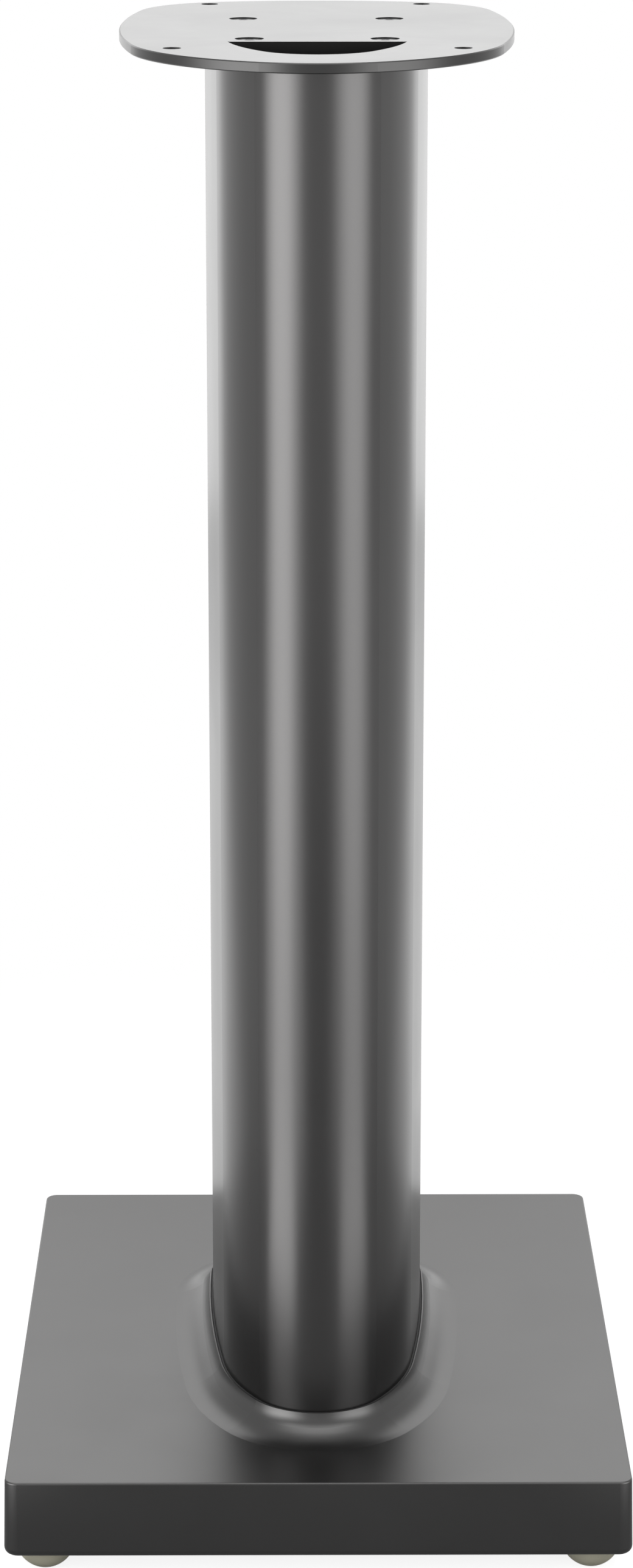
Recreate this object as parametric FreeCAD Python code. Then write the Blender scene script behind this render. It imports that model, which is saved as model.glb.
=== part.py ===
import FreeCAD
import Part
import math
import os

Vector = FreeCAD.Vector

# Floor-standing loudspeaker stand, millimetres, +Z up.
# The origin is on the floor under the middle of the base.
# -Y is the front, the side with the column's narrow nose and the cable opening.

# ---- Driving dimensions ------------------------------------------------------

# Whole stand
stand_height = 600.0            # floor to the top plate's upper face
foot_standoff = 10.5            # floor to the base's underside

# Base casting
base_width = 250.0              # at the top face
base_depth = 317.5              # at the top face
base_height = 32.0
base_corner_radius = 5.0
base_draft = 1.3                # degrees, the sides spread towards the floor
base_top_edge = 0.8             # radius of the upper edge
base_bottom_edge = 3.0          # radius of the lower edge
base_wall = 5.0
deck_thickness = 5.0
rib_thickness = 3.0
rib_hub_share = 0.35            # slanted ribs meet this far out along the middle rib

# Column section: a tapered oval of tangent arcs, narrow nose to the front
column_nose_y = -112.0
column_length_y = 185.0
column_half_width = 45.0
column_widest = 140.0           # behind the nose
column_nose_radius = 29.0
column_shoulder_radius = 90.0
column_flank_radius = 650.0
column_corner_radius = 34.0
column_tail_radius = 90.0
column_wall = 3.5
web_thickness = 3.5
chamber_corner = 1.5
duct_web_y = -63.0              # front face of the web behind the cable duct

# Screw ports in the column, taken up by the screws of both ends
port_radius = 6.5
front_port_x = 26.2
front_port_y = -53.0
rear_port_x = 29.4
rear_port_y = 22.0

# Socket and swept collar that hold the column
socket_depth = 14.0             # below the base's top face
socket_wall = 5.0
socket_gap = 0.8                # column to socket, all round
collar_height = 10.0
collar_land = 0.8               # flat rim of the collar
collar_upper_sweep = 9.0        # hollow radius under the rim
collar_lower_sweep = 20.0       # hollow radius down to the top face
collar_rim_slope = 80.0         # degrees, just under the rim
collar_foot_slope = 2.0         # degrees, where it runs out into the top face
collar_foot_sink = 0.02         # lower end of the sweep under the top face
collar_rim_edge = 0.3           # chamfer inside the rim
seal_height = 5.0
seal_drop = 0.3                 # seal's top below the rim
gasket_thickness = 1.0
gasket_inset = 0.4              # gasket's edge inside the column's outline

# Top plate outline and its holes
plate_thickness = 4.0
plate_margin = 25.0             # plate's front edge to the column's nose
plate_length_y = 232.0
plate_half_width = 78.0
plate_widest = 130.0
plate_nose_radius = 56.0
plate_shoulder_radius = 84.0
plate_flank_radius = 320.0
plate_corner_radius = 44.0
plate_tail_radius = 165.0
plate_edge = 0.4                # chamfer of both edges
duct_lip = 0.5                  # plate opening inside the duct's walls
speaker_hole_radius = 3.5
front_hole_x = 55.2
front_hole_y = -86.0
rear_hole_x = 44.0
rear_hole_y = 80.5

# Countersunk screws of the top plate
plate_screw_radius = 3.0
plate_screw_head = 5.6
plate_screw_land = 0.4          # straight rim of the head
plate_screw_recess = 0.6
plate_screw_length = 20.0

# Ballast plate under the casting
ballast_thickness = 10.0
ballast_recess = 1.0            # ballast's underside above the base's underside
ballast_gap = 1.0               # ballast to walls and bosses
ballast_screw_radius = 2.5
ballast_screw_head = 4.7
ballast_screw_length = 18.0
ballast_boss_radius = 6.0
ballast_screw_inset = 10.0      # screw's axis from the casting's inner wall
ballast_screw_y = 72.0

# Bolts that pull the column down
bolt_radius = 3.0
bolt_head_radius = 5.0
bolt_head_height = 3.3
bolt_key_floor = 1.0            # metal left above the hexagon
bolt_thread_in_column = 20.0
washer_radius = 6.5
washer_thickness = 1.6
counterbore_gap = 0.8

# Hexagon drives
plate_screw_key = 4.0           # across flats
bolt_key = 4.0
ballast_screw_key = 3.0

# Cable bush at the duct's lower mouth
bush_wall = 1.6
bush_flange = 4.0
bush_flange_thickness = 0.9
bush_gap = 0.2

# Levelling feet
foot_inset_x = 16.0             # foot's axis from the base's side, at the underside
foot_inset_y = 17.0
foot_boss_radius = 12.5
stud_radius = 4.0
foot_travel = 5.0               # how far a foot screws out
stud_engagement = 8.5           # thread left in the insert when screwed right out
stud_flange_radius = 8.0
stud_flange_thickness = 2.0
stud_flange_z = 5.5
insert_radius = 6.0
insert_length = 14.0
dome_radius = 12.2
dome_flat = 0.3                 # height cut off at the floor
dome_bands = 4                  # conical bands that the dome is turned from

# Clearances
thread_clearance = 0.05         # screw to its plain hole
running_clearance = 0.05        # stud to insert and stud to dome
seat_clearance = 0.3            # dome to base when screwed right in
clear_hole_gap = 0.3            # bolt to its through hole
fit_gap = 0.05                  # seal and inserts to their seats

# Cutting bodies run this far past the surfaces they cut
overrun = 1.0

# ---- Levels worked out from them ---------------------------------------------

underside_z = foot_standoff
deck_z = underside_z + base_height
rim_z = deck_z + collar_height
socket_z = deck_z - socket_depth
ballast_bottom_z = underside_z + ballast_recess
ballast_top_z = ballast_bottom_z + ballast_thickness
column_bottom_z = socket_z + gasket_thickness
plate_bottom_z = stand_height - plate_thickness
plate_nose_y = column_nose_y - plate_margin
opening_chord_y = duct_web_y - duct_lip
draft_spread = base_height * math.tan(math.radians(base_draft))
foot_x = base_width / 2 + draft_spread - foot_inset_x
foot_y = base_depth / 2 + draft_spread - foot_inset_y


# ---- Shape helpers -----------------------------------------------------------

class Oval:
    """Tapered oval of tangent arcs, symmetrical about X = 0, with its nose towards -Y."""

    def __init__(self, nose_y, length, half_width, widest, radii):
        nose, shoulder, flank, corner, tail = radii
        nose_centre = Vector(0, nose_y + nose, 0)
        flank_centre = Vector(half_width - flank, nose_y + widest, 0)
        tail_centre = Vector(0, nose_y + length - tail, 0)
        shoulder_centre = tangent_centre(
            nose_centre, shoulder - nose, flank_centre, flank - shoulder)
        corner_centre = tangent_centre(
            tail_centre, tail - corner, flank_centre, flank - corner)
        towards_nose = (nose_centre - shoulder_centre).normalize()
        along_shoulder = (shoulder_centre - flank_centre).normalize()
        towards_corner = (corner_centre - flank_centre).normalize()
        along_tail = (corner_centre - tail_centre).normalize()
        self.arcs = [
            (shoulder_centre, shoulder, towards_nose, along_shoulder),
            (flank_centre, flank, along_shoulder, towards_corner),
            (corner_centre, corner, towards_corner, along_tail),
        ]
        self.nose = (nose_centre, nose, towards_nose)
        self.tail = (tail_centre, tail, along_tail)

    def face(self, offset, z):
        """Flat face of the outline grown by offset, at height z."""
        right = [arc_edge(centre, radius + offset, start, end, z)
                 for centre, radius, start, end in self.arcs]
        left = [edge.mirror(Vector(0, 0, 0), Vector(1, 0, 0)) for edge in right]
        nose_centre, nose, towards_nose = self.nose
        tail_centre, tail, along_tail = self.tail
        front = arc_edge(nose_centre, nose + offset, mirrored(towards_nose), towards_nose, z)
        back = arc_edge(tail_centre, tail + offset, along_tail, mirrored(along_tail), z)
        edges = [front] + right + [back] + list(reversed(left))
        return Part.Face(Part.Wire(Part.__sortEdges__(edges)))

    def prism(self, offset, low_z, high_z):
        """Upright solid of the outline grown by offset."""
        return self.face(offset, low_z).extrude(Vector(0, 0, high_z - low_z))

    def girdle(self, section):
        """Solid that carries a section all round the outline.

        The section is a function from the base point and the outward direction of one
        radial plane to a face in that plane.
        """
        nose_centre, nose, towards_nose = self.nose
        tail_centre, tail, along_tail = self.tail
        right = [(nose_centre, nose, Vector(0, -1, 0), towards_nose)] + self.arcs
        right.append((tail_centre, tail, along_tail, Vector(0, 1, 0)))
        sectors = []
        for centre, radius, start, end in right:
            face = section(centre + start * radius, start)
            turn = math.degrees(start.getAngle(end))
            sectors.append(face.revolve(centre, Vector(0, 0, 1), turn))
        half = sectors[0].fuse(sectors[1:]).removeSplitter()
        return half.fuse(half.mirror(Vector(0, 0, 0), Vector(1, 0, 0))).removeSplitter()


def tangent_centre(axis_centre, axis_reach, flank_centre, flank_reach):
    """Centre at the given distances from a centre on the axis and from the flank's centre."""
    line = flank_centre - axis_centre
    span = line.Length
    along = line.normalize()
    foot = (axis_reach ** 2 - flank_reach ** 2 + span ** 2) / (2 * span)
    height = math.sqrt(axis_reach ** 2 - foot ** 2)
    outward = Vector(along.y, -along.x, 0)
    return axis_centre + along * foot + outward * height


def mirrored(direction):
    return Vector(-direction.x, direction.y, 0)


def arc_edge(centre, radius, start, end, z):
    """Arc about a centre between two unit directions, bulging away from the centre."""
    middle = (start + end).normalize()
    points = [centre + direction * radius for direction in (start, middle, end)]
    for point in points:
        point.z = z
    return Part.Arc(*points).toShape()


def cylinder(radius, x, y, low_z, high_z):
    return Part.makeCylinder(radius, high_z - low_z, Vector(x, y, low_z))


def slab(x0, x1, y0, y1, z0, z1):
    return Part.makeBox(x1 - x0, y1 - y0, z1 - z0, Vector(x0, y0, z0))


def rounded_rectangle(half_x, half_y, radius, z):
    """Closed wire of a rectangle with rounded corners, centred on the Z axis."""
    inner_x = half_x - radius
    inner_y = half_y - radius
    edges = []
    for quarter in range(4):
        angle = math.pi / 2 * quarter
        sign_x = 1 if quarter in (0, 3) else -1
        sign_y = 1 if quarter in (0, 1) else -1
        centre = Vector(sign_x * inner_x, sign_y * inner_y, 0)
        start = Vector(math.cos(angle), math.sin(angle), 0)
        end = Vector(math.cos(angle + math.pi / 2), math.sin(angle + math.pi / 2), 0)
        edges.append(arc_edge(centre, radius, start, end, z))
    sides = [Part.makeLine(edges[i].Vertexes[1].Point, edges[(i + 1) % 4].Vertexes[0].Point)
             for i in range(4)]
    return Part.Wire(Part.__sortEdges__(edges + sides))


def hexagon_prism(across_flats, x, y, low_z, high_z):
    corner = across_flats / math.sqrt(3)
    points = [Vector(x + corner * math.cos(math.radians(60 * k)),
                     y + corner * math.sin(math.radians(60 * k)), low_z) for k in range(7)]
    return Part.Face(Part.makePolygon(points)).extrude(Vector(0, 0, high_z - low_z))


def revolved(profile, x, y):
    """Solid of revolution about the upright axis at (x, y); profile is (radius, z) points."""
    points = [Vector(x + radius, y, z) for radius, z in profile]
    face = Part.Face(Part.makePolygon(points + points[:1]))
    return face.revolve(Vector(x, y, 0), Vector(0, 0, 1), 360)


def flat_edges(shape, z):
    """Edges that lie level at height z."""
    tolerance = 1e-4
    return [edge for edge in shape.Edges
            if abs(edge.BoundBox.ZMin - z) < tolerance and abs(edge.BoundBox.ZMax - z) < tolerance]


def sharp_uprights(shape):
    """Upright edges where two faces meet at an angle, which a fillet can round."""
    smallest_turn = math.radians(15)
    found = []
    for edge in shape.Edges:
        box = edge.BoundBox
        if box.XLength > fit_gap or box.YLength > fit_gap:
            continue
        middle = edge.valueAt((edge.FirstParameter + edge.LastParameter) / 2)
        normals = []
        for face in shape.ancestorsOfType(edge, Part.Face):
            u, v = face.Surface.parameter(middle)
            normals.append(face.normalAt(u, v))
        if len(normals) == 2 and normals[0].getAngle(normals[1]) > smallest_turn:
            found.append(edge)
    return found


def four_ports():
    """Centres of the column's four screw ports."""
    return [(side * x, y) for x, y in ((front_port_x, front_port_y), (rear_port_x, rear_port_y))
            for side in (-1, 1)]


def foot_places():
    """Name and axis of each levelling foot."""
    return [(f"{end}_{side}", sign_x * foot_x, sign_y * foot_y)
            for end, sign_y in (("front", -1), ("rear", 1))
            for side, sign_x in (("left", -1), ("right", 1))]


column_oval = Oval(
    column_nose_y, column_length_y, column_half_width, column_widest,
    (column_nose_radius, column_shoulder_radius, column_flank_radius,
     column_corner_radius, column_tail_radius))

plate_oval = Oval(
    plate_nose_y, plate_length_y, plate_half_width, plate_widest,
    (plate_nose_radius, plate_shoulder_radius, plate_flank_radius,
     plate_corner_radius, plate_tail_radius))


def half_moon(grow, low_z, high_z):
    """Half-moon of the cable way: the column's nose cut by a straight chord, grown by grow."""
    nose = column_oval.prism(grow - column_wall - duct_lip, low_z, high_z)
    wide = column_half_width * 2
    front = slab(-wide, wide, plate_nose_y - wide, opening_chord_y + grow, low_z, high_z)
    return nose.common(front)


# ---- Top plate and its screws ------------------------------------------------

def screw_cone(x, y, radius, head, top_z, low_z):
    """Countersunk shape: a 90 degree head over a shank, head uppermost."""
    shoulder_z = top_z - plate_screw_land
    neck_z = shoulder_z - (head - radius)
    profile = [(0, low_z), (radius, low_z), (radius, neck_z), (head, shoulder_z),
               (head, top_z), (0, top_z)]
    return revolved(profile, x, y)


def make_top_plate():
    plate = plate_oval.prism(0, plate_bottom_z, stand_height)
    rims = flat_edges(plate, stand_height) + flat_edges(plate, plate_bottom_z)
    plate = plate.makeChamfer(plate_edge, rims)
    plate = plate.cut(half_moon(0, plate_bottom_z - overrun, stand_height + overrun))
    for x, y in ((front_hole_x, front_hole_y), (rear_hole_x, rear_hole_y)):
        for side in (-1, 1):
            hole = cylinder(speaker_hole_radius, side * x, y,
                            plate_bottom_z - overrun, stand_height + overrun)
            plate = plate.cut(hole)
    for x, y in four_ports():
        seat = screw_cone(x, y, plate_screw_radius + thread_clearance,
                          plate_screw_head + thread_clearance,
                          stand_height - plate_screw_recess, plate_bottom_z - overrun)
        mouth = cylinder(plate_screw_head + thread_clearance, x, y,
                         stand_height - plate_screw_recess, stand_height + overrun)
        plate = plate.cut(seat).cut(mouth)
    return plate


def make_top_plate_screws():
    top_z = stand_height - plate_screw_recess
    socket_depth_z = top_z - plate_screw_head / 2
    screws = []
    for x, y in four_ports():
        screw = screw_cone(x, y, plate_screw_radius, plate_screw_head, top_z,
                           top_z - plate_screw_length)
        socket = hexagon_prism(plate_screw_key, x, y, socket_depth_z, top_z + overrun)
        screws.append(screw.cut(socket))
    return Part.makeCompound(screws)


# ---- Column ------------------------------------------------------------------

def column_chambers(low_z, high_z):
    """The hollow of the extrusion, divided by its webs and screw ports."""
    hollow = column_oval.prism(-column_wall, low_z, high_z)
    wide = column_half_width * 2
    dividers = [
        slab(-wide, wide, duct_web_y, duct_web_y + web_thickness, low_z, high_z),
        slab(-wide, wide, rear_port_y - web_thickness / 2, rear_port_y + web_thickness / 2,
             low_z, high_z),
    ]
    for x, y in four_ports():
        dividers.append(cylinder(port_radius, x, y, low_z, high_z))
    for side in (-1, 1):
        x = side * front_port_x
        dividers.append(slab(x - port_radius, x + port_radius, duct_web_y, front_port_y,
                             low_z, high_z))
    divided = hollow.cut(dividers)
    return [chamber.makeFillet(chamber_corner, sharp_uprights(chamber))
            for chamber in divided.Solids]


def make_column():
    column = column_oval.prism(0, column_bottom_z, plate_bottom_z)
    column = column.cut(column_chambers(column_bottom_z - overrun, plate_bottom_z + overrun))
    for x, y in four_ports():
        tapped = cylinder(bolt_radius + thread_clearance, x, y,
                          column_bottom_z - overrun, plate_bottom_z + overrun)
        column = column.cut(tapped)
    return column


def make_column_gasket():
    """Sheet gasket under the column's end, cut out for the cables and the bolts."""
    gasket = column_oval.prism(-gasket_inset, socket_z, column_bottom_z)
    gasket = gasket.cut(half_moon(0, socket_z - overrun, column_bottom_z + overrun))
    for x, y in four_ports():
        gasket = gasket.cut(cylinder(bolt_radius + clear_hole_gap, x, y,
                                     socket_z - overrun, column_bottom_z + overrun))
    return gasket


def make_column_seal():
    """Ring pressed into the gap between the collar and the column."""
    high_z = rim_z - seal_drop
    low_z = high_z - seal_height
    ring = column_oval.prism(socket_gap - fit_gap, low_z, high_z)
    return ring.cut(column_oval.prism(fit_gap, low_z - overrun, high_z + overrun))


# ---- Base --------------------------------------------------------------------

def ballast_screw_places():
    """Four screws near the long sides of the ballast plate."""
    x = base_width / 2 - base_wall - ballast_screw_inset
    return [(side * x, end * ballast_screw_y) for end in (-1, 1) for side in (-1, 1)]


def collar_section(base_point, outward):
    """Section of the collar: a flat rim over two tangent hollow arcs and a block below."""
    rim_slope = math.radians(collar_rim_slope)
    foot_slope = math.radians(collar_foot_slope)
    drop = collar_height + collar_foot_sink
    change = (collar_lower_sweep * math.cos(foot_slope)
              - collar_upper_sweep * math.cos(rim_slope) - drop)
    middle_slope = math.acos(change / (collar_lower_sweep - collar_upper_sweep))

    def place(out, z):
        return base_point + outward * out + Vector(0, 0, z)

    def hollow(radius, out, z, steep, shallow):
        """Arc from a steep point down to a shallow one, and where it ends."""
        centre_out = out + radius * math.sin(steep)
        centre_z = z + radius * math.cos(steep)
        points = []
        for slope in (steep, (steep + shallow) / 2, shallow):
            end_out = centre_out - radius * math.sin(slope)
            end_z = centre_z - radius * math.cos(slope)
            points.append(place(end_out, end_z))
        return Part.Arc(*points).toShape(), end_out, end_z

    rim_out = socket_gap + collar_land
    upper, out, z = hollow(collar_upper_sweep, rim_out, rim_z, rim_slope, middle_slope)
    lower, out, z = hollow(collar_lower_sweep, out, z, middle_slope, foot_slope)
    corners = [place(out, z), place(out, socket_z), place(0, socket_z), place(0, rim_z),
               place(rim_out, rim_z)]
    lines = [Part.LineSegment(*pair).toShape() for pair in zip(corners, corners[1:])]
    return Part.Face(Part.Wire([upper, lower] + lines))


def make_base_shell():
    """Outside of the casting: a drafted block whose collar sweeps up round the socket."""
    low = rounded_rectangle(base_width / 2 + draft_spread, base_depth / 2 + draft_spread,
                            base_corner_radius + draft_spread, underside_z)
    high = rounded_rectangle(base_width / 2, base_depth / 2, base_corner_radius, deck_z)
    block = Part.makeLoft([low, high], True, True)
    block = block.makeFillet(base_top_edge, flat_edges(block, deck_z))
    block = block.makeFillet(base_bottom_edge, flat_edges(block, underside_z))
    return block.fuse(column_oval.girdle(collar_section))


def base_ribs(low_z, high_z):
    """Ribs that tie the socket to the side walls and to the foot bosses."""
    half_x = base_width / 2 - base_wall / 2
    half_y = base_depth / 2 - base_wall / 2
    half = rib_thickness / 2
    ribs = [slab(-half, half, -half_y, half_y, low_z, high_z)]
    for end in (-1, 1):
        y = end * ballast_screw_y
        ribs.append(slab(-half_x, half_x, y - half, y + half, low_z, high_z))
    for name, x, y in foot_places():
        hub = Vector(0, y * rib_hub_share, 0)
        foot = Vector(x, y, 0)
        length = (foot - hub).Length
        rib = slab(0, length, -half, half, low_z, high_z)
        rib.rotate(Vector(0, 0, 0), Vector(0, 0, 1), math.degrees(math.atan2(y - hub.y, x)))
        rib.translate(hub)
        ribs.append(rib)
    return ribs


def make_base():
    shell = make_base_shell()
    ceiling_z = deck_z - deck_thickness
    below_z = underside_z - overrun
    recess_wire = rounded_rectangle(base_width / 2 - base_wall, base_depth / 2 - base_wall,
                                    base_corner_radius, below_z)
    recess = Part.Face(recess_wire).extrude(Vector(0, 0, ceiling_z - below_z))
    bosses = [cylinder(foot_boss_radius, x, y, underside_z, ceiling_z)
              for name, x, y in foot_places()]
    bosses += [cylinder(ballast_boss_radius, x, y, ballast_top_z, ceiling_z)
               for x, y in ballast_screw_places()]
    tower = column_oval.prism(socket_gap + socket_wall, ballast_top_z, ceiling_z)
    core = recess.cut(bosses + [tower] + base_ribs(ballast_top_z, ceiling_z))
    base = shell.cut(core)
    socket = column_oval.prism(socket_gap, socket_z, rim_z + overrun)
    mouth = Part.makeLoft([
        column_oval.face(socket_gap, rim_z - collar_rim_edge).OuterWire,
        column_oval.face(socket_gap + collar_rim_edge, rim_z).OuterWire], True, True)
    base = base.cut([socket, mouth])
    base = base.cut(half_moon(bush_wall + bush_gap, below_z, socket_z + overrun))
    drillings = [cylinder(bolt_radius + clear_hole_gap, x, y, below_z, socket_z + overrun)
                 for x, y in four_ports()]
    screw_top = ballast_bottom_z + ballast_screw_length + overrun
    drillings += [cylinder(ballast_screw_radius + thread_clearance, x, y, below_z, screw_top)
                  for x, y in ballast_screw_places()]
    drillings += [cylinder(insert_radius + fit_gap, x, y, below_z, underside_z + insert_length)
                  for name, x, y in foot_places()]
    return base.cut(drillings)


# ---- Ballast, bolts and cable bush -------------------------------------------

def make_ballast_plate():
    wire = rounded_rectangle(base_width / 2 - base_wall - ballast_gap,
                             base_depth / 2 - base_wall - ballast_gap,
                             base_corner_radius, ballast_bottom_z)
    plate = Part.Face(wire).extrude(Vector(0, 0, ballast_thickness))
    below_z = ballast_bottom_z - overrun
    above_z = ballast_top_z + overrun
    cuts = [cylinder(foot_boss_radius + ballast_gap, x, y, below_z, above_z)
            for name, x, y in foot_places()]
    cuts.append(half_moon(bush_wall + bush_gap, below_z, above_z))
    for x, y in four_ports():
        cuts.append(cylinder(bolt_radius + clear_hole_gap, x, y, below_z, above_z))
        cuts.append(cylinder(washer_radius + counterbore_gap, x, y, below_z, bolt_seat_z()))
    for x, y in ballast_screw_places():
        cuts.append(upturned_cone(x, y, ballast_screw_radius + clear_hole_gap,
                                  ballast_screw_head + clear_hole_gap,
                                  ballast_bottom_z, above_z))
    return plate.cut(cuts)


def bolt_seat_z():
    """Height of the counterbore's seat, which keeps the bolt heads inside the ballast."""
    return ballast_bottom_z + bolt_head_height + washer_thickness


def upturned_cone(x, y, radius, head, low_z, high_z):
    """Countersunk shape with its head lowermost."""
    profile = [(0, low_z), (head, low_z), (radius, low_z + head - radius),
               (radius, high_z), (0, high_z)]
    return revolved(profile, x, y)


def make_ballast_screws():
    screws = []
    for x, y in ballast_screw_places():
        screw = upturned_cone(x, y, ballast_screw_radius, ballast_screw_head,
                              ballast_bottom_z, ballast_bottom_z + ballast_screw_length)
        socket = hexagon_prism(ballast_screw_key, x, y, ballast_bottom_z - overrun,
                               ballast_bottom_z + ballast_screw_head / 2)
        screws.append(screw.cut(socket))
    return Part.makeCompound(screws)


def make_column_bolts():
    seat_z = bolt_seat_z() - washer_thickness
    bolts = []
    for x, y in four_ports():
        head = cylinder(bolt_head_radius, x, y, seat_z - bolt_head_height, seat_z)
        shank = cylinder(bolt_radius, x, y, seat_z, column_bottom_z + bolt_thread_in_column)
        socket = hexagon_prism(bolt_key, x, y, seat_z - bolt_head_height - overrun,
                               seat_z - bolt_key_floor)
        bolts.append(head.fuse(shank).cut(socket).removeSplitter())
    return Part.makeCompound(bolts)


def make_column_washers():
    top_z = bolt_seat_z()
    washers = []
    for x, y in four_ports():
        disc = cylinder(washer_radius, x, y, top_z - washer_thickness, top_z)
        hole = cylinder(bolt_radius + clear_hole_gap, x, y,
                        top_z - washer_thickness - overrun, top_z + overrun)
        washers.append(disc.cut(hole))
    return Part.makeCompound(washers)


def make_cable_bush():
    """Lining of the duct's lower mouth, flanged under the ballast plate."""
    flange_low = ballast_bottom_z - bush_flange_thickness
    lining = half_moon(bush_wall, ballast_bottom_z, socket_z)
    flange = half_moon(bush_flange, flange_low, ballast_bottom_z)
    return lining.fuse(flange).cut(half_moon(0, flange_low - 1, socket_z + overrun))


# ---- Levelling feet ----------------------------------------------------------

def make_foot_inserts():
    inserts = []
    for name, x, y in foot_places():
        top_z = underside_z + insert_length
        bore = stud_radius + running_clearance
        profile = [(bore, underside_z), (insert_radius, underside_z),
                   (insert_radius, top_z), (bore, top_z)]
        inserts.append(revolved(profile, x, y))
    return Part.makeCompound(inserts)


def stud_profile(clearance):
    """Half section of the stud: a round shank over a flange moulded into the dome."""
    shank = stud_radius + clearance
    flange = stud_flange_radius + clearance
    low = stud_flange_z - clearance
    high = stud_flange_z + stud_flange_thickness + clearance
    top = underside_z + foot_travel + stud_engagement
    return [(0, low), (flange, low), (flange, high), (shank, high), (shank, top), (0, top)]


def make_foot_stud(x, y):
    return revolved(stud_profile(0), x, y)


def make_foot_dome(x, y):
    """Rubber dome in turned bands, flat where it stands and open at the top for the stud."""
    top_z = underside_z - seat_clearance
    centre_z = dome_radius - dome_flat
    low_angle = math.asin(-centre_z / dome_radius)
    high_angle = math.asin((top_z - centre_z) / dome_radius)
    profile = [(0, top_z), (0, 0)]
    for band in range(dome_bands + 1):
        angle = low_angle + (high_angle - low_angle) * band / dome_bands
        profile.append((dome_radius * math.cos(angle), centre_z + dome_radius * math.sin(angle)))
    return revolved(profile, x, y).cut(revolved(stud_profile(running_clearance), x, y))


# ---- Build -------------------------------------------------------------------

def make_pieces():
    pieces = {
        "top_plate": make_top_plate(),
        "top_plate_screws": make_top_plate_screws(),
        "column": make_column(),
        "column_gasket": make_column_gasket(),
        "column_seal": make_column_seal(),
        "base": make_base(),
        "ballast_plate": make_ballast_plate(),
        "ballast_screws": make_ballast_screws(),
        "column_bolts": make_column_bolts(),
        "column_washers": make_column_washers(),
        "cable_bush": make_cable_bush(),
        "foot_inserts": make_foot_inserts(),
    }
    for name, x, y in foot_places():
        pieces[f"foot_stud_{name}"] = make_foot_stud(x, y)
        pieces[f"foot_dome_{name}"] = make_foot_dome(x, y)
    return pieces


os.makedirs("parts", exist_ok=True)
for node, shape in make_pieces().items():
    shape.exportStep(os.path.join("parts", f"{node}.step"))
    box = shape.BoundBox
    print(f"{node}: {len(shape.Solids)} solids, volume {shape.Volume:.0f} mm3, "
          f"valid {shape.isValid()}, Z {box.ZMin:.2f} to {box.ZMax:.2f}")
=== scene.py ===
import sys
import logging
import math
from dataclasses import dataclass, field
from enum import Enum

import bmesh
import bpy
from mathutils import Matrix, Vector


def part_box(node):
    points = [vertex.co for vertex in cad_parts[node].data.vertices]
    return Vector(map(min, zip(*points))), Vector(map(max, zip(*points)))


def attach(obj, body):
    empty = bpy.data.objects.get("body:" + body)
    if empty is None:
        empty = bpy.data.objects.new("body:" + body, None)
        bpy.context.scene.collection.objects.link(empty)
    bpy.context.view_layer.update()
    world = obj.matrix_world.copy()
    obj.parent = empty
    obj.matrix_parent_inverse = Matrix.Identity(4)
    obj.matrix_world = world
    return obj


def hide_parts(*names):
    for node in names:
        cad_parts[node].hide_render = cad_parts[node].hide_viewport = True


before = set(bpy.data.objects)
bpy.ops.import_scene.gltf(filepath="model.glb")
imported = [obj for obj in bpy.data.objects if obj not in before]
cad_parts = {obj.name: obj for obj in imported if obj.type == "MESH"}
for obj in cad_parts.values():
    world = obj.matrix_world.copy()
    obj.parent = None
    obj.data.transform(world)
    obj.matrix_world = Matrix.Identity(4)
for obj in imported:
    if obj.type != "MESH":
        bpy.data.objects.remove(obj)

log = logging.getLogger("speaker_stand")

Colour = tuple[float, float, float]
Point = tuple[float, float, float]
ProfilePoint = tuple[float, float]
PlanPoint = tuple[float, float]

STAND_BODY = "stand"
WELD_DISTANCE = 1e-7
CRISP_ANGLE = math.radians(32)
ROWS_PER_THREAD_TURN = 8

# Numbers of the sockets that a Mix node uses for colours.
MIX_FACTOR = 0
MIX_FIRST = 6
MIX_SECOND = 7
MIX_RESULT = 2

# The column's screw ports on the right, front one first. The left side mirrors them.
PORT_PLACES: tuple[PlanPoint, ...] = ((0.0262, -0.053), (0.0294, 0.022))

STAND_MIDDLE: Point = (0.0, 0.0, 0.3)
ABOVE_BASE: Point = (0.0, 0.0, 0.1)


class Slot(Enum):
    """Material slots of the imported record."""

    PLATE = "plate_paint"
    COLUMN = "column_finish"
    BASE = "base_paint"
    BALLAST = "ballast_steel"
    BLACK_STEEL = "black_steel"
    ZINC = "zinc_steel"
    BRASS = "insert_brass"
    SEAL = "seal_rubber"
    BUSH = "bush_plastic"
    FOOT = "foot_rubber"


class Facing(Enum):
    """Which way the head of a screw points, as a turn about the X axis."""

    UP = 0.0
    DOWN = math.pi


class Corner(Enum):
    """The four corners that stand on levelling feet."""

    FRONT_LEFT = "front_left"
    FRONT_RIGHT = "front_right"
    REAR_LEFT = "rear_left"
    REAR_RIGHT = "rear_right"


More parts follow.
